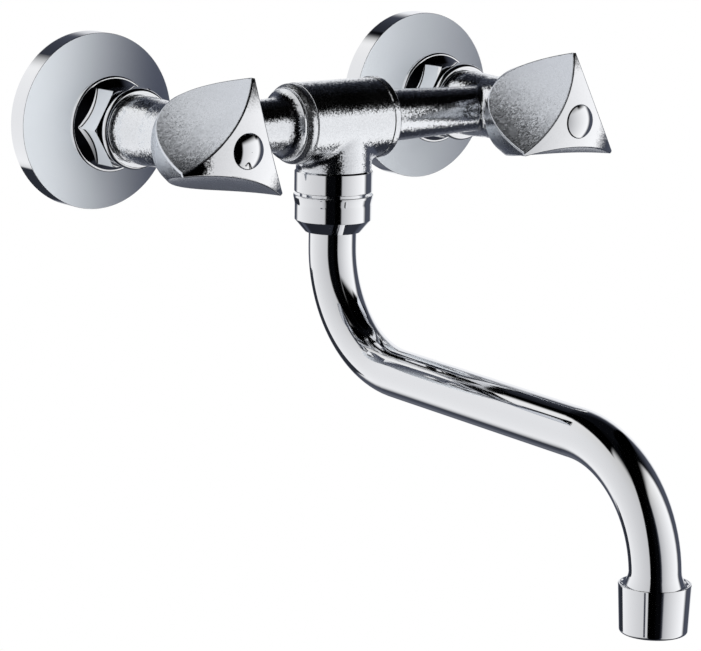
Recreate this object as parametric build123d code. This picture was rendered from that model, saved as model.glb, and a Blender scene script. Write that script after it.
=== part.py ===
from build123d import *

import os
from math import asin, atan2, cos, degrees, radians, sin, sqrt

# Wall-mounted two-handle mixer tap with a swivel spout, in millimetres.
# Origin: on the wall plane, midway between the two supplies.
# X runs along the bar to the right, Y into the wall, Z up.
# Lengths called reach are measured out from the wall, towards the user.

# Driving dimensions of the whole tap
supply_spacing = 150.0
supply_offset = 6.0
bar_reach = 49.5
handle_rear_reach = 65.0
handle_front_reach = 99.3
handle_turn = {"left": 13.0, "right": 2.7}

# Half-inch pipe thread
thread_r = 10.48
thread_pitch = 1.814
thread_depth = 0.95

# Wall flange
flange_r = 31.8
flange_depth = 7.9
flange_sheet = 1.2
flange_edge_rounding = 0.2

# Offset union between the wall and the nut
union_plate_r = 13.4
union_plate_thickness = 5.4
union_bore_r = 6.5
wall_thread_length = 15.0
key_flats = 12.0

# Union nut and tail
nut_rear_reach = 15.9
nut_front_reach = 29.3
nut_collar_r = 17.3
nut_collar_thickness = 1.7
nut_collar_rounding = 0.75
nut_flats = 27.0
nut_ridge_rounding = 0.5
nut_shoulder = 3.1
nut_wall = 2.7
tail_r = 8.2
tail_bore_r = 5.5
tail_collar_thickness = 3.0
washer_thickness = 2.0

# Valve body and arm
bead_r = 14.5
bead_reach = 31.2
bead_width = 2.6
valve_r = 12.2
valve_waist_r = 11.7
valve_front_reach = 67.0
valve_bore_r = 9.5
seat_reach = 44.0
seat_r = 7.4
seat_height = 1.4
seat_wall = 2.5
waist_length = 19.0
waist_curve = 14.0
arm_r_at_tee = 9.9
arm_r_at_valve = 8.5
arm_junction_rounding = 2.0
arm_bore_r = 5.0
spigot_r = 9.2
spigot_end = 11.0
boss_neck_r = 11.2
boss_recess = 1.2
boss_length = 4.8
boss_flange_r = 12.9
boss_flange_thickness = 0.8
boss_flare_length = 1.9
boss_flare_curve = 6.0

# Lock ring between the boss and the tee
ring_gap = 0.2
ring_r = 14.55
ring_straight = 2.0
ring_front_r = 13.3

# Headwork
headwork_rear_reach = 56.0
headwork_collar_r = 11.8
headwork_collar_thickness = 2.0
headwork_gasket_thickness = 0.5
headwork_hex_flats = 19.0
headwork_hex_reach = 73.5
neck_r = 6.4
neck_reach = 79.0
guide_reach = 65.1
plunger_flats = 12.0
plunger_clearance = 0.08
plunger_r = 7.3
plunger_foot_reach = 49.2
plunger_front_reach = 58.3
plunger_bore_reach = 50.3
seat_washer_thickness = 3.4
washer_screw_r = 1.6
washer_screw_head_r = 3.2
washer_screw_head_height = 1.2

# Spindle
spindle_r = 3.9
spindle_clearance = 0.06
spindle_thread_r = 3.0
spindle_rear_reach = 55.0
spindle_front_reach = 89.0
thrust_collar_r = 5.5
thrust_collar_rear_reach = 63.1
thrust_collar_front_reach = 65.0
seal_groove_depth = 0.9
seal_groove_width = 2.0
seal_groove_reaches = (69.6, 74.4)
clip_groove_depth = 0.5
clip_r = 5.4
clip_rear_reach = neck_reach + 0.1
clip_front_reach = neck_reach + 0.9

# Handle
handle_rear_r = 16.6
handle_corner_r = 24.8
handle_dome_drop = 5.4
handle_side_bulge = 0.5
handle_edge_rounding = 0.7
handle_tip_r = 24.6
scoop_rear_r = 16.7
scoop_front_r = 9.5
scoop_sag = 1.1
scoop_cross_radius = 78.0
scoop_half_width = 34.0
scoop_swing = 13.0
handle_skirt_r = 13.0
handle_skirt_reach = 75.5
handle_neck_gap = 0.9
handle_hub_reach = neck_reach + 1.6
handle_screw_seat_reach = 91.4
handle_screw_pocket_r = 4.5
handle_screw_r = 2.1
handle_screw_rear_reach = 81.5
handle_screw_head_r = 4.1
handle_screw_head_height = 2.2
cap_r = 5.95
cap_rim_reach = 99.5
cap_crown_height = 1.5
cap_wall = 1.0
cap_seat_r = 6.3
cap_seat_reach = 94.2
cap_seat_height = 2.2

# Tee
tee_r = 14.7
tee_left = 18.2
tee_right = 19.6
tee_band_r = 15.0
tee_band_width = 3.0
tee_outlet_r = 13.8
tee_outlet_drop = 17.8
tee_outlet_rounding = 4.0
tee_bore_r = 7.0
tee_outlet_bore_r = 10.0

# Spout connection, heights measured down from the bar's axis
adaptor_top_drop = 10.6
adaptor_thread_r = 12.2
collar_r = 14.3
collar_drop = 26.0
spout_nut_r = 14.05
spout_nut_top_drop = 26.9
spout_nut_cone_drop = 36.2
spout_nut_bottom_drop = 40.7
spout_nut_bottom_r = 10.2
spout_nut_bead_r = 14.6
spout_nut_bead_width = 0.9
spout_nut_bead_slope = 2.6
socket_r = 10.4
socket_top_drop = 21.5
socket_bottom_drop = 33.0
bush_clearance = 0.08
bush_seal_drops = (24.0, 28.4)
bush_groove_depth = 1.1
bush_groove_width = 2.2
bush_flange_r = 12.0
bush_flange_top_drop = 33.15
bush_flange_bottom_drop = 34.8
slip_ring_r = 12.1
slip_ring_top_drop = 34.9
slip_ring_bottom_drop = 36.4
tube_clearance = 0.1

# Spout tube
tube_r = 8.8
tube_wall = 1.0
spout_drop_run = 5.4
spout_upper_bend = 41.0
spout_bend_angle = 87.9
spout_mid_run = 96.3
spout_lower_bend = 41.3
spout_swivel_top_drop = 22.0

# Nozzle, heights counted from the end of the spout's last bend
nose_top = 2.6
nose_bottom = -12.0
housing_top = -1.75
nose_flare_r = 10.3
nose_thread_r = 10.6
nose_thread_depth = 1.8
housing_top_r = 12.2
housing_bottom_r = 11.4
housing_length = 16.8
housing_mouth_r = 8.6
housing_ledge_r = 9.6
housing_ledge = 1.2
nozzle_gasket_thickness = 1.6
nozzle_gasket_bore_r = 7.8
cage_r = 9.4
cage_bore_r = 8.2
cage_sheet = 1.2
mesh_hole_r = 0.62
mesh_hole_spacing = 1.75

sides = {"left": -1, "right": 1}
nodes = {}


def turned(*corners):
    """Solid of revolution about Z from (radius, height) or (radius, height, rounding) corners."""
    points = [corner[:2] for corner in corners]
    roundings = [corner[2] if len(corner) > 2 else 0 for corner in corners]
    outline = FilletPolyline(*points, radius=roundings, close=True)
    return revolve(Plane.XZ * make_face(outline), Axis.Z)


def hexagon_bar(flats, low, high):
    """Hexagonal bar about Z with a flat facing up and down the local Y axis."""
    profile = RegularPolygon(flats / 2, 6, major_radius=False)
    return extrude(Pos(0, 0, low) * profile, high - low)


def rod(radius, low, high):
    """Plain round bar about Z."""
    return Pos(0, 0, low) * extrude(Circle(radius), high - low)


def male_thread(low, high):
    """Corners of a pipe thread's crests and roots, from high to low."""
    corners = []
    count = int((high - low) / thread_pitch)
    flat = thread_pitch * 0.3
    slope = thread_pitch * 0.25
    start = high - (high - low - count * thread_pitch) / 2
    for turn in range(count):
        top = start - turn * thread_pitch
        corners.append((thread_r, top))
        corners.append((thread_r, top - flat))
        corners.append((thread_r - thread_depth, top - flat - slope))
        corners.append((thread_r - thread_depth, top - thread_pitch + slope))
    return corners


def on_valve(side, shape):
    """Moves a shape from its own axis to a valve's axis, with local Z pointing out from the wall."""
    x = sides[side] * supply_spacing / 2
    return Plane(origin=(x, 0, 0), x_dir=(1, 0, 0), z_dir=(0, -1, 0)) * shape


def on_bar(side, shape):
    """Moves a shape to the bar's axis, with local Z pointing from the tee towards one side."""
    return Plane(origin=(0, -bar_reach, 0), x_dir=(0, 0, 1), z_dir=(sides[side], 0, 0)) * shape


def on_outlet(shape):
    """Moves a shape to the tee's outlet axis, with heights counted from the bar's axis."""
    return Pos(0, -bar_reach, 0) * shape


def wall_flange():
    """Dished round plate that covers the supply's hole in the wall."""
    inner_r = flange_r - flange_sheet
    inner_depth = flange_depth - flange_sheet
    return turned(
        (thread_r, inner_depth),
        (thread_r, flange_depth),
        (flange_r, flange_depth, flange_edge_rounding),
        (flange_r, 0),
        (inner_r, 0),
        (inner_r, inner_depth, 0.4),
    )


def offset_union():
    """Connector that shifts the tap's axis from the supply's axis, so that the spacing can be set."""
    supply = Pos(0, -supply_offset, 0)
    plate_low = 0.4
    plate_high = plate_low + union_plate_thickness
    neck_end = nut_front_reach - nut_wall - tail_collar_thickness - washer_thickness
    near = Pos(0, 0, plate_low) * Circle(union_plate_r)
    far = Pos(0, -supply_offset, plate_low) * Circle(union_plate_r)
    plate = extrude(make_hull(near.edges() + far.edges()), union_plate_thickness)
    neck_thread = male_thread(plate_high + 0.4, neck_end - 0.6)
    neck = turned(
        (0, neck_end),
        (thread_r - thread_depth, neck_end),
        *neck_thread,
        (thread_r - thread_depth, plate_high),
        (0, plate_high),
    )
    wall_thread = male_thread(-wall_thread_length + 0.6, -0.2)
    tail = turned(
        (0, plate_low),
        (thread_r - thread_depth, plate_low),
        *wall_thread,
        (thread_r - thread_depth, -wall_thread_length),
        (0, -wall_thread_length),
    )
    middle = (plate_low + plate_high) / 2
    key_hex = hexagon_bar(key_flats, neck_end - 6, neck_end)
    passage = rod(union_bore_r, middle - 1.5, neck_end)
    passage += supply * rod(union_bore_r, -wall_thread_length, middle + 1.5)
    return plate + neck + supply * tail - passage - key_hex


def union_washer():
    """Fibre washer squeezed between the union's end and the tail's collar."""
    high = nut_front_reach - nut_wall - tail_collar_thickness
    return rod(9.6, high - washer_thickness, high) - rod(tail_bore_r, 0, high)


def union_nut():
    """Hexagonal nut with a round collar at its wall side, and ridges pointing left and right."""
    collar_front = nut_rear_reach + nut_collar_thickness
    corner_r = nut_flats / 2 / cos(radians(30))
    hexagon = hexagon_bar(nut_flats, collar_front - 0.1, nut_front_reach)
    hexagon = fillet(hexagon.edges().filter_by(Axis.Z), nut_ridge_rounding)
    chamfer_shape = turned(
        (0, nut_rear_reach),
        (corner_r + 2.5, nut_rear_reach),
        (corner_r + 2.5, collar_front + 0.2),
        (corner_r, nut_front_reach - 0.4),
        (corner_r - 0.6, nut_front_reach),
        (0, nut_front_reach),
    )
    cone = turned(
        (0, nut_rear_reach),
        (nut_collar_r - 0.2, nut_rear_reach),
        (nut_collar_r - 0.8, collar_front - 0.1),
        (nut_flats / 2 - 0.3, collar_front + nut_shoulder),
        (0, collar_front + nut_shoulder),
    )
    collar = turned(
        (0, nut_rear_reach),
        (nut_collar_r, nut_rear_reach, nut_collar_rounding),
        (nut_collar_r, collar_front, nut_collar_rounding),
        (0, collar_front),
    )
    bore = rod(thread_r, nut_rear_reach, nut_front_reach - nut_wall)
    mouth = rod(tail_r + 0.15, nut_rear_reach, nut_front_reach)
    return (hexagon & chamfer_shape) + cone + collar - bore - mouth


def inlet_tail():
    """Threaded tail that the union nut pulls against the washer."""
    collar_high = nut_front_reach - nut_wall
    collar_low = collar_high - tail_collar_thickness
    end = seat_reach - seat_wall
    body = turned(
        (tail_bore_r, collar_low),
        (thread_r - 0.25, collar_low),
        (thread_r - 0.25, collar_high, 0.3),
        (tail_r, collar_high),
        (tail_r, end),
        (tail_bore_r, end),
    )
    return body - hexagon_bar(key_flats, collar_low, collar_low + 8)


def side_casting(side):
    """Valve body and its arm to the tee, cast in one piece."""
    bead_front = bead_reach + bead_width
    body = turned(
        (0, bead_reach),
        (bead_r, bead_reach, 1.2),
        (bead_r, bead_front, 1.2),
        (valve_r - 0.9, bead_front),
        (valve_r - 0.9, bead_front + 0.9),
        (valve_r, bead_front + 0.9, 0.4),
        (valve_r, bar_reach - waist_length / 2, waist_curve),
        (valve_waist_r, bar_reach, waist_curve),
        (valve_r, bar_reach + waist_length / 2, waist_curve),
        (valve_r, valve_front_reach, 0.6),
        (0, valve_front_reach),
    )
    body = on_valve(side, Rot(0, 0, 90) * body)
    reach = supply_spacing / 2
    joint = boss_corners() if side == "left" else [(spigot_r, tee_right), (arm_r_at_tee, tee_right)]
    arm = turned(
        (0, spigot_end),
        (spigot_r, spigot_end),
        *joint,
        (arm_r_at_valve, reach - valve_r - 2),
        (arm_r_at_valve, reach),
        (0, reach),
    )
    casting = body + on_bar(side, arm)
    junction = casting.edges().filter_by(lambda edge: is_arm_junction(edge, reach))
    casting = fillet(junction, arm_junction_rounding)
    chamber = turned(
        (0, bead_reach),
        (tail_r, bead_reach),
        (tail_r, seat_reach - seat_wall),
        (tail_bore_r, seat_reach - seat_wall),
        (tail_bore_r, seat_reach),
        (seat_r, seat_reach),
        (seat_r, seat_reach - seat_height),
        (valve_bore_r, seat_reach - seat_height),
        (valve_bore_r, valve_front_reach),
        (0, valve_front_reach),
    )
    way_out = rod(arm_bore_r, spigot_end, reach - 4)
    return casting - on_valve(side, chamber) - on_bar(side, way_out)


def boss_corners():
    """Corners of the left arm's boss: its recessed neck, its flange and the flare down to the arm."""
    flange_front = tee_left + boss_length
    flange_rear = flange_front - boss_flange_thickness
    return [
        (spigot_r, tee_left - boss_recess),
        (boss_neck_r, tee_left - boss_recess),
        (boss_neck_r, flange_rear),
        (boss_flange_r, flange_rear),
        (boss_flange_r, flange_front),
        (arm_r_at_tee, flange_front + boss_flare_length, boss_flare_curve),
    ]


def is_arm_junction(edge, reach):
    """True for the seam where an arm meets its valve body."""
    box = edge.bounding_box()
    near = min(abs(box.min.X), abs(box.max.X))
    far = max(abs(box.min.X), abs(box.max.X))
    beside_valve = near > reach - valve_r - 1 and far < reach - 2
    around_arm = abs(box.center().Y + bar_reach) < arm_r_at_valve + 0.5
    return beside_valve and around_arm


def lock_ring():
    """Ring with a sloping front that clamps the left arm's boss in the tee."""
    low = tee_left + ring_gap
    high = tee_left + boss_length - boss_flange_thickness
    return turned(
        (boss_neck_r, low),
        (ring_r, low, 0.3),
        (ring_r, low + ring_straight, 1.5),
        (ring_front_r, high - 0.1, 0.2),
        (boss_neck_r, high - 0.1),
    )


def tee():
    """Cast tee with a barrel along the bar, a low band at its right end and a flared outlet below."""
    barrel = on_bar("right", turned(
        (0, -tee_left),
        (tee_r, -tee_left, 0.4),
        (tee_r, tee_right - tee_band_width),
        (tee_band_r, tee_right - tee_band_width + 0.3),
        (tee_band_r, tee_right, 0.7),
        (0, tee_right),
    ))
    outlet = on_outlet(rod(tee_outlet_r, -tee_outlet_drop, 0))
    body = barrel + outlet
    seam = body.edges().filter_by(is_outlet_seam)
    body = fillet(seam, tee_outlet_rounding)
    body -= on_bar("right", rod(tee_bore_r, -tee_left, tee_right))
    for side, end in (("left", tee_left), ("right", tee_right)):
        body -= on_bar(side, rod(spigot_r, spigot_end, end))
    body -= on_bar("left", rod(boss_neck_r, tee_left - boss_recess, tee_left))
    body -= on_outlet(rod(tee_outlet_bore_r, -tee_outlet_drop, -adaptor_top_drop))
    body -= on_outlet(rod(tee_bore_r, -tee_outlet_drop, 0))
    return body


def is_outlet_seam(edge):
    """True for the seam between the tee's barrel and its outlet."""
    box = edge.bounding_box()
    return box.max.Z < -1 and box.min.Z > -tee_outlet_drop + 0.5 and edge.length > 15


def outlet_collar():
    """Adaptor in the tee's outlet, with the polished upper ring and the spout's socket."""
    return on_outlet(turned(
        (tee_bore_r, -adaptor_top_drop),
        (tee_outlet_bore_r, -adaptor_top_drop),
        (tee_outlet_bore_r, -tee_outlet_drop),
        (collar_r - 0.6, -tee_outlet_drop),
        (collar_r, -tee_outlet_drop - 0.7, 0.2),
        (collar_r, -collar_drop, 0.4),
        (adaptor_thread_r, -collar_drop),
        (adaptor_thread_r, -socket_bottom_drop),
        (socket_r, -socket_bottom_drop),
        (socket_r, -socket_top_drop),
        (tee_bore_r, -socket_top_drop),
    ))


def spout_nut():
    """Round nut that holds the spout up in its socket and lets it turn."""
    bead_bottom = -spout_nut_top_drop - spout_nut_bead_width
    return on_outlet(turned(
        (adaptor_thread_r, -spout_nut_top_drop),
        (spout_nut_bead_r, -spout_nut_top_drop, 0.35),
        (spout_nut_bead_r, bead_bottom, 2.0),
        (spout_nut_r, bead_bottom - spout_nut_bead_slope, 4.0),
        (spout_nut_r, -spout_nut_cone_drop, 0.3),
        (spout_nut_bottom_r, -spout_nut_bottom_drop, 0.25),
        (tube_r + tube_clearance, -spout_nut_bottom_drop),
        (tube_r + tube_clearance, -slip_ring_bottom_drop),
        (adaptor_thread_r, -slip_ring_bottom_drop),
    ))


def slip_ring():
    """Split plastic ring that the spout's flange turns on."""
    ring = turned(
        (tube_r + tube_clearance, -slip_ring_bottom_drop),
        (slip_ring_r, -slip_ring_bottom_drop),
        (slip_ring_r, -slip_ring_top_drop),
        (tube_r + tube_clearance, -slip_ring_top_drop),
    )
    middle = (slip_ring_top_drop + slip_ring_bottom_drop) / 2
    slit = Pos(11, 0, -middle) * Box(6, 0.8, 2)
    return on_outlet(ring - slit)


def spout_bush():
    """Bush brazed to the top of the spout, with two seal grooves and a flange."""
    outer = socket_r - bush_clearance
    corners = [(tube_r, -spout_swivel_top_drop)]
    corners.append((outer, -spout_swivel_top_drop, 0.3))
    for drop in bush_seal_drops:
        corners += groove_corners(outer, -drop, bush_groove_depth, -bush_groove_width)
    corners.append((outer, -bush_flange_top_drop))
    corners.append((bush_flange_r, -bush_flange_top_drop))
    corners.append((bush_flange_r, -bush_flange_bottom_drop))
    corners.append((tube_r, -bush_flange_bottom_drop))
    return on_outlet(turned(*corners))


def groove_corners(radius, start, depth, width):
    """Corners of a square groove round a turned piece, along the way that its outline runs."""
    return [
        (radius, start),
        (radius - depth, start),
        (radius - depth, start + width),
        (radius, start + width),
    ]


def seal_ring(inner, outer, height):
    """Rubber ring of round section that fills a groove."""
    section = (outer - inner) / 2
    return Pos(0, 0, height) * Torus(inner + section, section)


def spout_seals():
    """The two rubber rings in the spout's bush."""
    seals = []
    for drop in bush_seal_drops:
        outer = socket_r - 0.04
        inner = socket_r - bush_clearance - bush_groove_depth
        seals.append(on_outlet(seal_ring(inner, outer, -drop - bush_groove_width / 2)))
    return seals


def spout_centre_line():
    """Points and bends of the spout in its own upright plane, as a wire towards the user."""
    turn = radians(spout_bend_angle)
    plane = Plane(origin=(0, -bar_reach, 0), x_dir=(0, -1, 0), z_dir=(-1, 0, 0))
    top = (0, -spout_swivel_top_drop)
    first = (0, -spout_nut_bottom_drop - spout_drop_run)
    second = (
        first[0] + spout_upper_bend * (1 - cos(turn)),
        first[1] - spout_upper_bend * sin(turn),
    )
    third = (
        second[0] + spout_mid_run * sin(turn),
        second[1] - spout_mid_run * cos(turn),
    )
    fourth = (
        third[0] + spout_lower_bend * (1 - cos(turn)),
        third[1] - spout_lower_bend * sin(turn),
    )
    half = turn / 2
    upper_middle = (
        first[0] + spout_upper_bend * (1 - cos(half)),
        first[1] - spout_upper_bend * sin(half),
    )
    lower_middle = (
        fourth[0] - spout_lower_bend * (1 - cos(half)),
        fourth[1] + spout_lower_bend * sin(half),
    )
    edges = [
        Line(top, first),
        ThreePointArc(first, upper_middle, second),
        Line(second, third),
        ThreePointArc(third, lower_middle, fourth),
    ]
    return plane * Wire(edges), fourth


def spout_tube():
    """Bent tube from the swivel down, out and down again to the nose."""
    path, end = spout_centre_line()
    start = Plane(origin=path @ 0, x_dir=(1, 0, 0), z_dir=path % 0)
    outer = sweep(start * Circle(tube_r), path=path)
    inner = sweep(start * Circle(tube_r - tube_wall), path=path)
    beyond_nose = Pos(0, -bar_reach - end[0], end[1] + nose_top - 5) * Box(30, 30, 10)
    return outer - inner - beyond_nose


def on_nozzle(shape):
    """Moves a shape to the spout's outlet axis, with heights counted down from the tube's end."""
    _, end = spout_centre_line()
    return Pos(0, -bar_reach - end[0], end[1]) * shape


def spout_nose():
    """Flared and threaded end brazed to the tube, which carries the nozzle."""
    bore = tube_r - tube_wall
    return on_nozzle(turned(
        (bore, nose_top),
        (tube_r, nose_top),
        (tube_r + 0.05, nose_top - 1.4, 5),
        (nose_flare_r, housing_top - 1.1),
        (nose_flare_r, housing_top - nose_thread_depth),
        (nose_thread_r, housing_top - nose_thread_depth),
        (nose_thread_r, nose_bottom),
        (bore, nose_bottom),
    ))


def nozzle_housing():
    """Round screwed shell at the outlet that holds the aerator."""
    top = housing_top
    bottom = top - housing_length
    return on_nozzle(turned(
        (nose_thread_r, top - nose_thread_depth),
        (housing_top_r - 0.8, top - 0.6),
        (housing_top_r - 0.6, top, 0.15),
        (housing_top_r, top, 0.3),
        (housing_bottom_r, bottom, 1.3),
        (housing_mouth_r, bottom),
        (housing_mouth_r, bottom + housing_ledge),
        (housing_ledge_r, bottom + housing_ledge),
        (housing_ledge_r, nose_bottom - nozzle_gasket_thickness),
        (nose_thread_r, nose_bottom - nozzle_gasket_thickness),
    ))


def nozzle_gasket():
    """Flat rubber ring between the nose and the aerator."""
    low = nose_bottom - nozzle_gasket_thickness
    bore = rod(nozzle_gasket_bore_r, low, nose_bottom)
    return on_nozzle(rod(nose_thread_r - 0.1, low, nose_bottom) - bore)


def aerator_cage():
    """Plastic cage that breaks the stream up, with rings of small holes in its top and bottom."""
    low = housing_top - housing_length + housing_ledge
    high = nose_bottom - nozzle_gasket_thickness
    cage = rod(cage_r, low, high) - rod(cage_bore_r, low + cage_sheet, high - 1.0)
    for ring in range(4):
        hole_count = 6 * ring if ring else 1
        for index in range(hole_count):
            angle = 360 / hole_count * index
            spot = Rot(0, 0, angle) * Pos(ring * mesh_hole_spacing, 0, 0)
            cage -= spot * rod(mesh_hole_r, low, high)
    return on_nozzle(cage)


def dome_arc(rim_r, drop, front):
    """Arc of a domed front in a turned outline, from its rim to its crown on the axis."""
    curve = (rim_r ** 2 + drop ** 2) / (2 * drop)
    half_angle = asin(rim_r / curve) / 2
    middle = (curve * sin(half_angle), front - curve * (1 - cos(half_angle)))
    return ThreePointArc((rim_r, front - drop), middle, (0, front))


def handle_blank():
    """Flared turning with a domed front, before its three sides are scooped."""
    corner_reach = handle_front_reach - handle_dome_drop
    side_middle = (
        (handle_rear_r + handle_corner_r) / 2 + handle_side_bulge,
        (handle_rear_reach + corner_reach) / 2,
    )
    rear = (handle_rear_r, handle_rear_reach)
    corner = (handle_corner_r, corner_reach)
    front = (0, handle_front_reach)
    outline = [
        Line((0, handle_rear_reach), rear),
        ThreePointArc(rear, side_middle, corner),
        dome_arc(handle_corner_r, handle_dome_drop, handle_front_reach),
        Line(front, (0, handle_rear_reach)),
    ]
    return revolve(Plane.XZ * make_face(Wire(outline)), Axis.Z)


def scoop():
    """Cutter for one side of the handle, hollow both across and along."""
    length = handle_front_reach - handle_rear_reach
    tilt = degrees(atan2(scoop_rear_r - scoop_front_r, length))
    long_radius = (length / 2) ** 2 / (2 * scoop_sag)
    rise = scoop_cross_radius - sqrt(scoop_cross_radius ** 2 - scoop_half_width ** 2)
    top = rise + 12.0
    outline = [
        ThreePointArc((-scoop_half_width, rise), (0, 0), (scoop_half_width, rise)),
        Line((scoop_half_width, rise), (scoop_half_width, top)),
        Line((scoop_half_width, top), (-scoop_half_width, top)),
        Line((-scoop_half_width, top), (-scoop_half_width, rise)),
    ]
    pivot = Axis((0, long_radius, 0), (1, 0, 0))
    start = make_face(Wire(outline)).rotate(pivot, -scoop_swing)
    cutter = revolve(start, pivot, 2 * scoop_swing)
    middle_r = (scoop_rear_r + scoop_front_r) / 2 - scoop_sag
    middle_reach = (handle_rear_reach + handle_front_reach) / 2
    return Pos(0, middle_r, middle_reach) * Rot(tilt, 0, 0) * cutter


def handle(side):
    """Three-sided handle with rounded edges and blunt tips, hollow behind, with a seat for its cap."""
    shape = handle_blank()
    cutter = scoop()
    for index in range(3):
        shape -= Rot(0, 0, 60 + 120 * index) * cutter
    shape = fillet(shape.edges().filter_by(GeomType.BSPLINE), handle_edge_rounding)
    shape &= rod(handle_tip_r, handle_rear_reach - 1, handle_front_reach + 1)
    hollow = turned(
        (0, handle_rear_reach - 1),
        (handle_skirt_r, handle_rear_reach - 1),
        (handle_skirt_r, handle_skirt_reach, 1.5),
        (neck_r + handle_neck_gap, handle_skirt_reach),
        (neck_r + handle_neck_gap, handle_hub_reach),
        (spindle_r, handle_hub_reach),
        (spindle_r, spindle_front_reach),
        (handle_screw_r + 0.1, spindle_front_reach),
        (handle_screw_r + 0.1, handle_screw_seat_reach),
        (handle_screw_pocket_r, handle_screw_seat_reach),
        (handle_screw_pocket_r, cap_seat_reach),
        (cap_seat_r, cap_seat_reach),
        (cap_seat_r, handle_front_reach + 1),
        (0, handle_front_reach + 1),
    )
    return on_valve(side, Rot(0, 0, -handle_turn[side]) * (shape - hollow))


def handle_screw():
    """Screw that holds the handle on its spindle."""
    seat = handle_screw_seat_reach
    top = seat + handle_screw_head_height
    shank = rod(handle_screw_r, handle_screw_rear_reach, seat)
    head = turned((0, seat), (handle_screw_head_r, seat), (handle_screw_head_r, top, 0.5), (0, top))
    slot = Pos(0, 0, top - 0.3) * Box(9, 0.9, 1.2)
    return shank + head - slot


def handle_cap():
    """Domed plug that hides the handle's screw."""
    front = cap_rim_reach + cap_crown_height
    inside_r = cap_r - cap_wall
    inside_reach = cap_rim_reach - cap_wall
    corners = [
        (0, front),
        (0, inside_reach),
        (inside_r, inside_reach),
        (inside_r, cap_seat_reach),
        (cap_seat_r, cap_seat_reach),
        (cap_seat_r, cap_seat_reach + cap_seat_height),
        (cap_r, cap_seat_reach + cap_seat_height + 0.4),
        (cap_r, cap_rim_reach),
    ]
    sides_and_seat = Polyline(*corners)
    outline = Wire([*sides_and_seat.edges(), dome_arc(cap_r, cap_crown_height, front)])
    return revolve(Plane.XZ * make_face(outline), Axis.Z)


def headwork_body():
    """Brass body screwed into the valve, which guides the plunger and the spindle."""
    collar_rear = valve_front_reach + headwork_gasket_thickness
    collar_front = valve_front_reach + headwork_collar_thickness
    outer = turned(
        (0, headwork_rear_reach),
        (valve_bore_r, headwork_rear_reach, 0.4),
        (valve_bore_r, collar_rear),
        (headwork_collar_r, collar_rear),
        (headwork_collar_r, collar_front, 0.3),
        (neck_r, collar_front),
        (neck_r, neck_reach, 0.4),
        (0, neck_reach),
    )
    outer += hexagon_bar(headwork_hex_flats, collar_front, headwork_hex_reach)
    guide = hexagon_bar(plunger_flats + 2 * plunger_clearance, headwork_rear_reach, guide_reach)
    return outer - guide - rod(spindle_r + spindle_clearance, headwork_rear_reach, neck_reach)


def headwork_gasket():
    """Seal ring between the headwork's collar and the valve body."""
    high = valve_front_reach + headwork_gasket_thickness
    bore = rod(valve_bore_r, valve_front_reach, high)
    return rod(headwork_collar_r, valve_front_reach, high) - bore


def plunger():
    """Sliding piece that carries the seat washer, kept from turning by its flats."""
    foot_rear = seat_reach + seat_washer_thickness
    foot = turned(
        (0, foot_rear),
        (plunger_r, foot_rear),
        (plunger_r, plunger_foot_reach, 0.4),
        (0, plunger_foot_reach),
    )
    shaft = hexagon_bar(plunger_flats, plunger_foot_reach - 0.2, plunger_front_reach)
    bore = rod(spindle_thread_r + spindle_clearance, plunger_bore_reach, plunger_front_reach)
    return shaft + foot - bore


def seat_washer():
    """Rubber washer that closes on the valve's seat."""
    low = seat_reach
    high = seat_reach + seat_washer_thickness
    return turned(
        (washer_screw_r, low),
        (seat_r - 0.2, low, 0.3),
        (seat_r - 0.2, high),
        (washer_screw_r, high),
    )


def washer_screw():
    """Small screw that holds the washer on the plunger."""
    shank = rod(washer_screw_r, seat_reach, seat_reach + seat_washer_thickness)
    return shank + rod(washer_screw_head_r, seat_reach - washer_screw_head_height, seat_reach)


def spindle():
    """Turning spindle: drive thread, thrust collar, seal grooves, clip groove and handle end."""
    grooves = []
    for reach in seal_groove_reaches:
        grooves += groove_corners(spindle_r, reach, seal_groove_depth, seal_groove_width)
    clip_width = clip_front_reach - clip_rear_reach
    grooves += groove_corners(spindle_r, clip_rear_reach, clip_groove_depth, clip_width)
    body = turned(
        (0, spindle_rear_reach),
        (spindle_thread_r, spindle_rear_reach, 0.3),
        (spindle_thread_r, thrust_collar_rear_reach),
        (thrust_collar_r, thrust_collar_rear_reach),
        (thrust_collar_r, thrust_collar_front_reach),
        (spindle_r, thrust_collar_front_reach),
        *grooves,
        (spindle_r, spindle_front_reach, 0.3),
        (0, spindle_front_reach),
    )
    return body - rod(handle_screw_r, handle_screw_rear_reach - 1.5, spindle_front_reach)


def spindle_seals():
    """The two rubber rings on the spindle."""
    seals = []
    for reach in seal_groove_reaches:
        inner = spindle_r - seal_groove_depth
        seals.append(seal_ring(inner, spindle_r + 0.02, reach + seal_groove_width / 2))
    return seals


def spindle_clip():
    """Open spring clip that keeps the spindle in the headwork."""
    ring = rod(clip_r, clip_rear_reach, clip_front_reach)
    ring -= rod(spindle_r - clip_groove_depth, clip_rear_reach, clip_front_reach)
    middle = (clip_rear_reach + clip_front_reach) / 2
    return ring - Pos(0, -4.5, middle) * Box(2.4, 4, 2)


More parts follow.
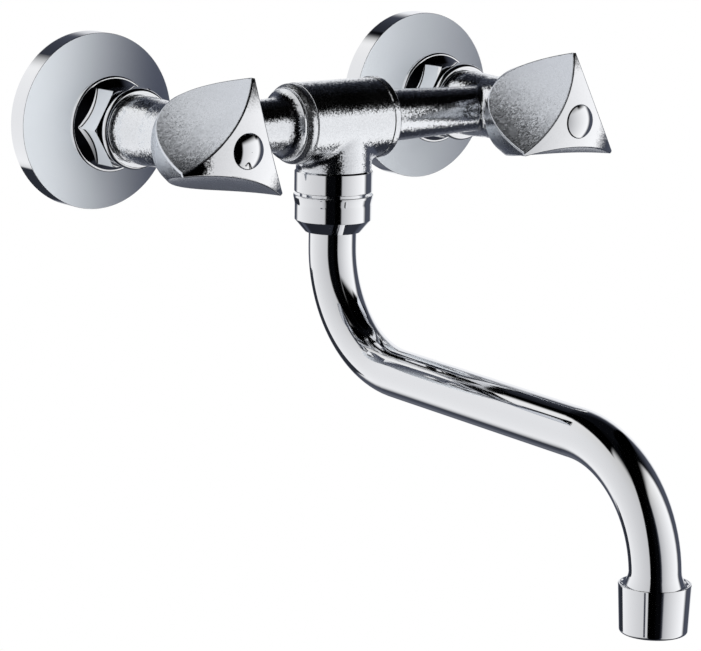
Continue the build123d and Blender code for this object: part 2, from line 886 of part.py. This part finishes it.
def make_nodes():
    """Fills the table of nodes, each a solid or a group of solids."""
    for side in sides:
        nodes[f"wall_flange_{side}"] = on_valve(side, wall_flange())
        nodes[f"offset_union_{side}"] = on_valve(side, offset_union())
        nodes[f"union_washer_{side}"] = on_valve(side, union_washer())
        nodes[f"union_nut_{side}"] = on_valve(side, union_nut())
        nodes[f"inlet_tail_{side}"] = on_valve(side, inlet_tail())
        nodes[f"side_casting_{side}"] = side_casting(side)
        nodes[f"headwork_body_{side}"] = on_valve(side, headwork_body())
        nodes[f"headwork_gasket_{side}"] = on_valve(side, headwork_gasket())
        nodes[f"plunger_{side}"] = on_valve(side, plunger())
        nodes[f"seat_washer_{side}"] = on_valve(side, seat_washer())
        nodes[f"washer_screw_{side}"] = on_valve(side, washer_screw())
        nodes[f"spindle_{side}"] = on_valve(side, spindle())
        seals = [on_valve(side, seal) for seal in spindle_seals()]
        nodes[f"spindle_seals_{side}"] = Compound(children=seals)
        nodes[f"spindle_clip_{side}"] = on_valve(side, spindle_clip())
        nodes[f"handle_{side}"] = handle(side)
        nodes[f"handle_screw_{side}"] = on_valve(side, handle_screw())
        nodes[f"handle_cap_{side}"] = on_valve(side, handle_cap())
    nodes["lock_ring"] = on_bar("left", lock_ring())
    nodes["tee"] = tee()
    nodes["outlet_collar"] = outlet_collar()
    nodes["spout_nut"] = spout_nut()
    nodes["slip_ring"] = slip_ring()
    nodes["spout_bush"] = spout_bush()
    nodes["spout_seals"] = Compound(children=spout_seals())
    nodes["spout_tube"] = spout_tube()
    nodes["spout_nose"] = spout_nose()
    nodes["nozzle_housing"] = nozzle_housing()
    nodes["nozzle_gasket"] = nozzle_gasket()
    nodes["aerator_cage"] = aerator_cage()


def write_nodes():
    """Writes one file for each node."""
    os.makedirs("parts", exist_ok=True)
    for name, shape in nodes.items():
        export_step(shape, f"parts/{name}.step")


make_nodes()
write_nodes()
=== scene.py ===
import math

import bpy
import bmesh
from mathutils import Matrix, Vector


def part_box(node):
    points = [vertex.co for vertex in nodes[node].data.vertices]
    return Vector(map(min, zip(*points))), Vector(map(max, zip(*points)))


# Wall-mounted mixer tap, dressed around its CAD frame, in metres.
# X runs along the bar to the right, Y into the wall, Z up.

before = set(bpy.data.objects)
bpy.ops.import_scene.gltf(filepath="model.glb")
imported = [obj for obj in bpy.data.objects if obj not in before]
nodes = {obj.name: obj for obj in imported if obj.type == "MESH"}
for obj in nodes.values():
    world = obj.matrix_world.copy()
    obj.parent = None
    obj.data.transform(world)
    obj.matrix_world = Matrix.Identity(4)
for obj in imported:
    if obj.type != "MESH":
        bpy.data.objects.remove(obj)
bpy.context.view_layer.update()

# Photograph's frame in pixels, and the camera that was fitted to it
image_width = 701
focal_pixels = 3274.9
camera_azimuth = math.radians(-38.267)
camera_elevation = math.radians(11.003)
camera_roll = math.radians(0.953)
camera_distance = 1.22637
camera_right = -0.036352
camera_up = 0.082431

# Places on the tap: the valve axes left and right of the middle, the space that holds the hollow behind
# each handle, which is painted near-black as shade, and how far the polish of each valve's bead reaches
# in front of the union nut
valve_x = 0.075
hollow_radius = 0.0132
hollow_front = -0.0760
polish_reach = 0.0052

# Studio
background = (1.0, 1.0, 1.0)
plain_light = 0.35
floor_height = -0.55
floor_radius = 0.9
floor_grey = 0.88
tap_middle = Vector((0, -0.1, 0))
room_colour = (0.043, 0.048, 0.065)
board_colour = (0.8, 0.9, 1.2)

# Colours of the metals
chrome_tint = (0.93, 0.935, 0.945)
satin_tint = (0.90, 0.915, 0.935)
lever_tint = (0.80, 0.83, 0.88)
# Near-black painted shade for the hollow behind each handle
hollow_painted_shade = (0.030, 0.031, 0.034)
brass = (0.80, 0.58, 0.30)
# Flange faces: the light and the dark end of the painted shade that runs across each face
flange_painted_light = (0.565, 0.595, 0.628)
flange_painted_dark = (0.048, 0.055, 0.080)

# Blasted metal of the tee and the castings: the range of its roughness, and how far its grains lean
satin_roughness = (0.12, 0.16)
satin_lean = 0.075

# Share of the colour that darker flecks and mottling keep, and the roughness of the polished parts of
# pieces that are blasted elsewhere
fleck_shade = 0.93
mottle_shade = 0.78
polished_roughness = 0.05

# Flange faces: how far inside its rims the left one's painted shade starts and ends, how dark the right one
# gets, and the roughness of their rims and faces
painted_light_margin = 0.001
painted_dark_margin = 0.003
right_painted_darkest = 0.82
flange_rim_roughness = 0.04
flange_face_roughness = (0.42, 0.50)

# Sizes of the finishes' textures
smudge_size = 0.011
ripple_size = 0.006
ripple_height = 0.000004
grain_size = 0.00042
mottle_size = 0.004
relief_size = 0.0005
relief_height = 0.00001


def make_camera():
    """Camera at the photograph's place, angle and focal length."""
    sine, cosine = math.sin(camera_azimuth), math.cos(camera_azimuth)
    level = math.cos(camera_elevation)
    back = Vector((sine * level, -cosine * level, math.sin(camera_elevation)))
    ahead = -back
    right = ahead.cross(Vector((0, 0, 1))).normalized()
    up = right.cross(ahead)
    turned_right = math.cos(camera_roll) * right + math.sin(camera_roll) * up
    turned_up = math.cos(camera_roll) * up - math.sin(camera_roll) * right
    place = -(turned_right * camera_right + turned_up * camera_up + ahead * camera_distance)
    data = bpy.data.cameras.new("camera")
    data.sensor_width = 36
    data.sensor_fit = "HORIZONTAL"
    data.lens = focal_pixels * data.sensor_width / image_width
    data.clip_start = 0.01
    camera = bpy.data.objects.new("camera", data)
    axes = Matrix((turned_right, turned_up, back)).transposed()
    camera.matrix_world = Matrix.Translation(place) @ axes.to_4x4()
    bpy.context.scene.collection.objects.link(camera)
    bpy.context.scene.camera = camera


def add(tree, kind, inputs=None, **settings):
    """Adds a shader node. An input that is a socket is linked, any other is the socket's value."""
    node = tree.nodes.new("ShaderNode" + kind)
    for name, value in settings.items():
        setattr(node, name, value)
    for key, value in (inputs or {}).items():
        if isinstance(value, bpy.types.NodeSocket):
            tree.links.new(value, node.inputs[key])
        else:
            node.inputs[key].default_value = value
    return node


def maths(tree, operation, first, second=0.0):
    """Result of one Math node."""
    return add(tree, "Math", {0: first, 1: second}, operation=operation).outputs[0]


def total(tree, *parts):
    """Sum of several sockets or numbers."""
    result = parts[0]
    for part in parts[1:]:
        result = maths(tree, "ADD", result, part)
    return result


def product(tree, *factors):
    """Product of several sockets or numbers."""
    result = factors[0]
    for factor in factors[1:]:
        result = maths(tree, "MULTIPLY", result, factor)
    return result


def graded(tree, value, start, end, low=0.0, high=1.0, smooth=True):
    """Value carried from the range start to end over to low to high, held at both ends."""
    kind = "SMOOTHSTEP" if smooth else "LINEAR"
    inputs = {"Value": value, "From Min": start, "From Max": end, "To Min": low, "To Max": high}
    return add(tree, "MapRange", inputs, interpolation_type=kind).outputs["Result"]


def between(tree, share, start, end):
    """Number that goes evenly from start to end while share goes from 0 to 1."""
    return graded(tree, share, 0.0, 1.0, start, end, smooth=False)


def opaque(colour):
    """A colour of three numbers with its fourth, which is 1, or a colour socket as it is."""
    return colour if isinstance(colour, bpy.types.NodeSocket) else (*colour, 1.0)


def mixed(tree, share, first, second):
    """Colour that goes from first to second while share goes from 0 to 1."""
    inputs = {0: share, 6: opaque(first), 7: opaque(second)}
    return add(tree, "Mix", inputs, data_type="RGBA").outputs[2]


def axis(tree, vector, letter):
    """One coordinate of a vector socket."""
    return add(tree, "SeparateXYZ", {0: vector}).outputs[letter]


def softbox(tree, way, left, right, bottom, top, levels, soft, corner):
    """Brightness of one studio light panel, by direction in degrees.

    levels are its brightness at the left and right edge, soft how far the left, right, bottom and top
    edge blur, and corner how far its corners are drawn in.
    """
    azimuth, elevation = way
    middle = (left + right) / 2
    half = (right - left) / 2
    across = maths(tree, "DIVIDE", maths(tree, "SUBTRACT", azimuth, middle), half)
    bulge = maths(tree, "POWER", maths(tree, "ABSOLUTE", across), 4.0)
    rounding = maths(tree, "MULTIPLY", bulge, corner)
    above = maths(tree, "ADD", elevation, rounding)
    below = maths(tree, "SUBTRACT", elevation, rounding)
    left_soft, right_soft, bottom_soft, top_soft = soft
    panel = product(
        tree,
        graded(tree, azimuth, left - left_soft, left + left_soft),
        graded(tree, azimuth, right - right_soft, right + right_soft, 1.0, 0.0),
        graded(tree, above, top - top_soft, top + top_soft, 1.0, 0.0),
        graded(tree, below, bottom - bottom_soft, bottom + bottom_soft),
    )
    rise = maths(tree, "POWER", graded(tree, azimuth, left, right, smooth=False), 0.7)
    return product(tree, panel, between(tree, rise, *levels))


def panel_light(tree, way):
    """Brightness of the studio's panels: a large one on each side of the camera, and three small glows.

    The left panel has a dark gap low at its right edge, and one of the glows is in that gap.
    """
    azimuth, elevation = way
    left_panel = softbox(
        tree, way, left=-174, right=-61, bottom=-48, top=60,
        levels=(0.95, 0.52), soft=(10, 3, 14, 11), corner=16)
    right_panel = softbox(
        tree, way, left=-14, right=69, bottom=-58, top=57,
        levels=(0.36, 1.0), soft=(3, 8, 10, 11), corner=14)
    wall_glow = softbox(
        tree, way, left=112, right=150, bottom=-22, top=24,
        levels=(0.9, 0.8), soft=(9, 7, 6, 10), corner=4)
    low_glow = softbox(
        tree, way, left=118, right=166, bottom=-80, top=-27,
        levels=(0.060, 0.060), soft=(9, 9, 6, 6), corner=4)
    low_window = softbox(
        tree, way, left=-71, right=-62.5, bottom=-23, top=-17,
        levels=(0.6, 0.6), soft=(1, 1, 1.5, 1), corner=0)
    low_gap = product(
        tree,
        graded(tree, azimuth, -78, -76),
        graded(tree, elevation, -18, -14, 1.0, 0.0),
        graded(tree, elevation, -26, -23.5),
    )
    cut_panel = product(tree, left_panel, maths(tree, "SUBTRACT", 1.0, low_gap))
    return total(tree, cut_panel, right_panel, wall_glow, low_glow, low_window)


def room_light(tree, way):
    """Colour of the dim room, which is nearly black overhead and behind the camera.

    It is dimmer low down and brighter on the right.
    """
    azimuth, elevation = way
    overhead = graded(tree, elevation, 15, 52, 1.0, 0.04)
    left_of_camera = graded(tree, azimuth, -66, -60, 1.0, 0.04)
    right_of_camera = graded(tree, azimuth, -24, -12)
    behind_camera = maths(tree, "MAXIMUM", left_of_camera, right_of_camera)
    low_down = graded(tree, elevation, -48, -36, 0.4, 1.0)
    right_side = graded(tree, azimuth, 70, 85, 1.0, 1.6)
    level = product(tree, overhead, behind_camera, low_down, right_side)
    return add(tree, "VectorMath", {0: room_colour, "Scale": level}, operation="SCALE").outputs[0]


def make_world():
    """White background, plain soft light, and for shiny surfaces the studio's panels and dim room."""
    world = bpy.data.worlds.new("studio")
    bpy.context.scene.world = world
    world.use_nodes = True
    tree = world.node_tree
    tree.nodes.clear()
    direction = add(tree, "TexCoord").outputs["Generated"]
    x, y, z = add(tree, "SeparateXYZ", {0: direction}).outputs
    azimuth = maths(tree, "ARCTAN2", x, maths(tree, "MULTIPLY", y, -1.0))
    way = maths(tree, "DEGREES", azimuth), maths(tree, "DEGREES", maths(tree, "ARCSINE", z))
    panels = panel_light(tree, way)
    lit = add(tree, "CombineXYZ", {0: panels, 1: panels, 2: panels}).outputs[0]
    light = add(tree, "VectorMath", {0: room_light(tree, way), 1: lit}, operation="ADD").outputs[0]
    studio = add(tree, "Background", {"Color": light, "Strength": 1.0})
    plain = add(tree, "Background", {"Color": opaque(background), "Strength": plain_light})
    white = add(tree, "Background", {"Color": opaque(background), "Strength": 1.0})
    rays = add(tree, "LightPath").outputs
    glossy = {0: rays["Is Glossy Ray"], 1: plain.outputs[0], 2: studio.outputs[0]}
    shiny = add(tree, "MixShader", glossy)
    clear = maths(tree, "MAXIMUM", rays["Is Camera Ray"], rays["Is Transmission Ray"])
    shown = add(tree, "MixShader", {0: clear, 1: shiny.outputs[0], 2: white.outputs[0]})
    add(tree, "OutputWorld", {"Surface": shown.outputs[0]})


def new_material(name):
    """Empty material and its node tree."""
    material = bpy.data.materials.new(name)
    material.use_nodes = True
    material.node_tree.nodes.clear()
    return material, material.node_tree


def make_floor():
    """Round pale floor below the tap, which fades into the white background."""
    mesh = bpy.data.meshes.new("floor")
    shape = bmesh.new()
    bmesh.ops.create_circle(shape, cap_ends=True, radius=floor_radius, segments=96)
    shape.to_mesh(mesh)
    shape.free()
    floor = bpy.data.objects.new("floor", mesh)
    floor.location = (tap_middle.x, tap_middle.y, floor_height)
    bpy.context.scene.collection.objects.link(floor)
    floor.visible_glossy = False
    material, tree = new_material("floor")
    spot = add(tree, "TexCoord").outputs["Object"]
    reach = add(tree, "VectorMath", {0: spot}, operation="LENGTH").outputs["Value"]
    edge = graded(tree, reach, floor_radius * 0.45, floor_radius * 0.98)
    matt = add(tree, "BsdfDiffuse", {"Color": (floor_grey, floor_grey, floor_grey, 1.0)})
    white = add(tree, "Emission", {"Color": opaque(background), "Strength": 1.0})
    surface = add(tree, "MixShader", {0: edge, 1: matt.outputs[0], 2: white.outputs[0]})
    add(tree, "OutputMaterial", {"Surface": surface.outputs[0]})
    floor.data.materials.append(material)


def make_flag(name, azimuth, distance, left, right, bottom, top, soft, glow=0.0):
    """Dark board with soft side and lower edges, which only shiny surfaces mirror.

    It stands this far from the origin in the direction of azimuth. left, right, bottom and top are its
    edges from that point, as seen when facing the tap. glow is how bright the board is.
    """
    turn = math.radians(azimuth)
    ahead = Vector((math.sin(turn), -math.cos(turn), 0))
    across = Vector((math.cos(turn), math.sin(turn), 0))
    up = Vector((0, 0, 1))
    mesh = bpy.data.meshes.new(name)
    corners = [
        (left - soft, bottom - soft, 0),
        (right + soft, bottom - soft, 0),
        (right + soft, top, 0),
        (left - soft, top, 0),
    ]
    mesh.from_pydata(corners, [], [(0, 1, 2, 3)])
    flag = bpy.data.objects.new(name, mesh)
    axes = Matrix((across, up, across.cross(up))).transposed()
    flag.matrix_world = Matrix.Translation(ahead * distance) @ axes.to_4x4()
    bpy.context.scene.collection.objects.link(flag)
    flag.visible_camera = False
    flag.visible_diffuse = False
    flag.visible_transmission = False
    flag.visible_shadow = False
    material, tree = new_material(name)
    spot = add(tree, "TexCoord").outputs["Object"]
    sideways = axis(tree, spot, "X")
    height = axis(tree, spot, "Y")
    cover = product(
        tree,
        graded(tree, sideways, left - soft, left + soft),
        graded(tree, sideways, right - soft, right + soft, 1.0, 0.0),
        graded(tree, height, bottom - soft, bottom + soft),
    )
    clear = add(tree, "BsdfTransparent", {"Color": (1.0, 1.0, 1.0, 1.0)})
    board = add(tree, "Emission", {"Color": opaque(board_colour), "Strength": glow})
    surface = add(tree, "MixShader", {0: cover, 1: clear.outputs[0], 2: board.outputs[0]})
    add(tree, "OutputMaterial", {"Surface": surface.outputs[0]})
    flag.data.materials.append(material)


def make_flags():
    """Boards that cut the mirrored panels off above, beside the camera and low behind the wall."""
    make_flag(
        "flag_right", azimuth=45, distance=0.271,
        left=-0.40, right=0.22, bottom=0.108, top=1.5, soft=0.045)
    make_flag(
        "flag_corner", azimuth=45, distance=0.268,
        left=-0.060, right=0.22, bottom=0.086, top=0.3, soft=0.018)
    make_flag(
        "flag_left", azimuth=-130, distance=0.243,
        left=-0.43, right=0.43, bottom=0.385, top=1.5, soft=0.035)
    make_flag(
        "flag_middle", azimuth=0, distance=0.307,
        left=-0.16, right=-0.064, bottom=-0.25, top=0.3, soft=0.012)
    make_flag(
        "flag_low", azimuth=-172, distance=0.5,
        left=-0.25, right=0.13, bottom=-0.412, top=-0.17, soft=0.008, glow=0.03)


def make_lamp(name, place, size, power):
    """Soft square lamp aimed at the tap."""
    data = bpy.data.lights.new(name, "AREA")
    data.size = size
    data.energy = power
    lamp = bpy.data.objects.new(name, data)
    lamp.location = place
    lamp.rotation_mode = "QUATERNION"
    lamp.rotation_quaternion = (Vector(place) - tap_middle).to_track_quat("Z", "Y")
    lamp.visible_glossy = False
    bpy.context.scene.collection.objects.link(lamp)


def make_fill(elevation, spread, strength):
    """Even light from the front without shadows, which only matt surfaces take up."""
    data = bpy.data.lights.new("fill", "SUN")
    data.energy = strength
    data.angle = math.radians(spread)
    data.use_shadow = False
    fill = bpy.data.objects.new("fill", data)
    fill.rotation_euler = (math.radians(90 - elevation), 0, 0)
    fill.visible_glossy = False
    bpy.context.scene.collection.objects.link(fill)


def make_lamps():
    """Two soft lamps from the front, left and right, one from above, and an even fill."""
    make_lamp("lamp_left", place=(-1.2, -1.1, 0.9), size=0.9, power=5)
    make_lamp("lamp_right", place=(1.1, -1.2, 0.9), size=0.9, power=5)
    make_lamp("lamp_top", place=(0.0, -0.3, 1.4), size=1.2, power=8)
    make_fill(elevation=35, spread=40, strength=2.8)


def grain(tree, spot, size, detail):
    """Noise from 0 to 1 whose lumps are about the given size in metres."""
    inputs = {"Vector": spot, "Scale": 1 / size, "Detail": detail, "Roughness": 0.5}
    return add(tree, "TexNoise", inputs).outputs[0]


def smudged(tree, spot, low, high):
    """Roughness that wanders between low and high in smudges."""
    return graded(tree, grain(tree, spot, smudge_size, 4.0), 0.3, 0.7, low, high)


def blasted_normal(tree, spot, lean, amount):
    """Surface normal that leans a random way in each small grain, which gives blasted metal its sparkle."""
    grains = add(tree, "TexVoronoi", {"Vector": spot, "Scale": 1 / grain_size}).outputs["Color"]
    centred = add(tree, "VectorMath", {0: grains, 1: (0.5, 0.5, 0.5)}, operation="SUBTRACT")
    strength = maths(tree, "MULTIPLY", amount, 2 * lean)
    offset = add(tree, "VectorMath", {0: centred.outputs[0], "Scale": strength}, operation="SCALE")
    normal = add(tree, "NewGeometry").outputs["Normal"]
    leaning = add(tree, "VectorMath", {0: normal, 1: offset.outputs[0]}, operation="ADD")
    return add(tree, "VectorMath", {0: leaning.outputs[0]}, operation="NORMALIZE").outputs[0]


def flecked(tree, spot, tint):
    """Blasted metal's colour: the tint with slightly darker flecks."""
    worn = tuple(fleck_shade * part for part in tint)
    fleck = graded(tree, grain(tree, spot, grain_size, 1.0), 0.32, 0.56)
    return mixed(tree, fleck, worn, tint)


def chrome(name, tint, roughness, wave=0.0, lean=0.0, blasted=None, least=0.0, raw=None):
    """Plated metal with smudges, which can have a faint wave of this height, or be blasted.

    lean is how far a blasted grain's normal leans. Where only part is blasted, blasted says which part,
    and least is the share of the lean that the polished part keeps. The last argument says where another
    colour takes the plating's place, and that colour: bare brass where the plating is missing, and
    painted shade in the hollow behind a handle.
    """
    material, tree = new_material(name)
    coords = add(tree, "TexCoord")
    spot = coords.outputs["Object"]
    colour = tint
    rough = smudged(tree, spot, *roughness)
    inputs = {"Metallic": 1.0}
    if wave:
        ripple = grain(tree, spot, ripple_size, 1.0)
        bump = add(tree, "Bump", {"Height": ripple, "Strength": 1.0, "Distance": wave})
        inputs["Normal"] = bump.outputs[0]
    if lean:
        colour = flecked(tree, spot, tint)
        amount = 1.0
        if blasted:
            mask = blasted(tree, coords)
            colour = mixed(tree, mask, chrome_tint, colour)
            rough = between(tree, mask, polished_roughness, rough)
            amount = between(tree, mask, least, 1.0)
        inputs["Normal"] = blasted_normal(tree, spot, lean, amount)
    # Another colour in place of the plating: bare brass behind the wall, and painted shade in the hollow
    # behind each handle
    if raw:
        where, bare = raw
        colour = mixed(tree, where(tree, coords), colour, bare)
    inputs["Base Color"] = opaque(colour)
    inputs["Roughness"] = rough
    surface = add(tree, "BsdfPrincipled", inputs)
    add(tree, "OutputMaterial", {"Surface": surface.outputs[0]})
    return material


def flange_painted_shade_chrome():
    """Polished rim and a fine satin face with painted shade going from light to dark across the flange."""
    material, tree = new_material("flange_painted_shade_chrome")
    coords = add(tree, "TexCoord")
    spot = coords.outputs["Object"]
    across = axis(tree, spot, "X")
    face = graded(tree, axis(tree, coords.outputs["Normal"], "Y"), -0.9, -0.97)
    left_box, right_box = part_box("wall_flange_left"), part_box("wall_flange_right")
    # Painted shade: the face's colour runs from light to dark across each flange
    left = graded(tree, across, left_box[0].x + painted_light_margin, left_box[1].x - painted_dark_margin)
    right = graded(tree, across, right_box[0].x, right_box[1].x, 0.0, right_painted_darkest, smooth=False)
    on_right = graded(tree, across, -0.001, 0.001)
    shade = add(tree, "Mix", {0: on_right, 2: left, 3: right}).outputs[0]
    painted_gradient = mixed(tree, shade, flange_painted_light, flange_painted_dark)
    satin = smudged(tree, spot, *flange_face_roughness)
    inputs = {
        "Base Color": mixed(tree, face, chrome_tint, painted_gradient),
        "Metallic": between(tree, face, 1.0, 0.1),
        "Roughness": between(tree, face, flange_rim_roughness, satin),
    }
    surface = add(tree, "BsdfPrincipled", inputs)
    add(tree, "OutputMaterial", {"Surface": surface.outputs[0]})
    return material


def off_dome(tree, coords):
    """0 on a handle's polished dome, which faces out from the wall, and 1 on its satin sides."""
    return graded(tree, axis(tree, coords.outputs["Normal"], "Y"), -0.85, -0.7)


def in_painted_shade_hollow(tree, coords):
    """1 in the hollow behind a handle, which is painted near-black as shade, and 0 elsewhere."""
    x, y, z = add(tree, "SeparateXYZ", {0: coords.outputs["Object"]}).outputs
    off_axis = maths(tree, "SUBTRACT", maths(tree, "ABSOLUTE", x), valve_x)
    away = add(tree, "CombineXYZ", {0: off_axis, 2: z}).outputs[0]
    radius = add(tree, "VectorMath", {0: away}, operation="LENGTH").outputs["Value"]
    inside = graded(tree, radius, hollow_radius - 0.0001, hollow_radius + 0.0001, 1.0, 0.0)
    return product(tree, inside, graded(tree, y, hollow_front - 0.0002, hollow_front + 0.0002))


def in_wall(tree, coords):
    """1 behind the wall's surface, where the offset unions are bare brass, and 0 in front of it."""
    return graded(tree, axis(tree, coords.outputs["Object"], "Y"), -0.0005, 0.0005)


def off_bead(tree, coords):
    """0 on the polished bead round a valve's wall side, and 1 on the rest of the casting."""
    polish_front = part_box("union_nut_left")[0].y - polish_reach
    depth = axis(tree, coords.outputs["Object"], "Y")
    return graded(tree, depth, polish_front, polish_front + 0.0003, 1.0, 0.0)


def plain_finish(name, colour, roughness, metallic=0.0):
    """Uncoated material with a mottled colour and a fine surface texture."""
    material, tree = new_material(name)
    spot = add(tree, "TexCoord").outputs["Object"]
    mottle = grain(tree, spot, mottle_size, 5.0)
    darker = tuple(mottle_shade * part for part in colour)
    texture = grain(tree, spot, relief_size, 3.0)
    relief = add(tree, "Bump", {"Height": texture, "Strength": 1.0, "Distance": relief_height})
    inputs = {
        "Base Color": mixed(tree, mottle, darker, colour),
        "Metallic": metallic,
        "Roughness": graded(tree, mottle, 0.3, 0.7, roughness * 0.85, roughness * 1.15),
        "Normal": relief.outputs[0],
    }
    surface = add(tree, "BsdfPrincipled", inputs)
    add(tree, "OutputMaterial", {"Surface": surface.outputs[0]})
    return material


def dress_nodes():
    """Gives each CAD node its material by its slot, and a finer one where it needs it."""
    finishes = {
        "polished_chrome": chrome(
            "polished_chrome", chrome_tint, roughness=(0.03, 0.06), wave=ripple_height),
        "satin_chrome": chrome("satin_chrome", satin_tint, roughness=satin_roughness, lean=satin_lean),
        "raw_brass": plain_finish("raw_brass", brass, roughness=0.28, metallic=1.0),
        "black_rubber": plain_finish("black_rubber", (0.025, 0.025, 0.027), roughness=0.6),
        "fibre_washer": plain_finish("fibre_washer", (0.30, 0.07, 0.045), roughness=0.8),
        "stainless_steel": plain_finish(
            "stainless_steel", (0.62, 0.62, 0.63), roughness=0.3, metallic=1.0),
        "white_plastic": plain_finish("white_plastic", (0.82, 0.82, 0.80), roughness=0.4),
    }
    casting = chrome(
        "satin_casting", satin_tint, roughness=satin_roughness, lean=satin_lean, blasted=off_bead)
    ring = chrome("satin_ring", satin_tint, roughness=(0.26, 0.32), lean=0.12)
    # The hollow behind each handle is painted near-black as shade
    lever = chrome(
        "satin_handle", lever_tint, roughness=(0.24, 0.30), lean=0.05,
        blasted=off_dome, least=0.5, raw=(in_painted_shade_hollow, hollow_painted_shade))
    union = chrome("plated_brass", chrome_tint, roughness=(0.06, 0.10), raw=(in_wall, brass))
    finer = {
        "side_casting": casting,
        "wall_flange": flange_painted_shade_chrome(),
        "offset_union": union,
        "inlet_tail": union,
        "lock_ring": ring,
        "handle_left": lever,
        "handle_right": lever,
    }
    for name, node in nodes.items():
        slots = node.data.materials
        for index, old in enumerate(slots):
            slots[index] = finishes[old.name.split(".")[0]]
        for start, finish in finer.items():
            if name.startswith(start):
                slots[0] = finish


make_camera()
make_world()
make_floor()
make_flags()
make_lamps()
dress_nodes()
bpy.context.scene.view_settings.view_transform = "Standard"
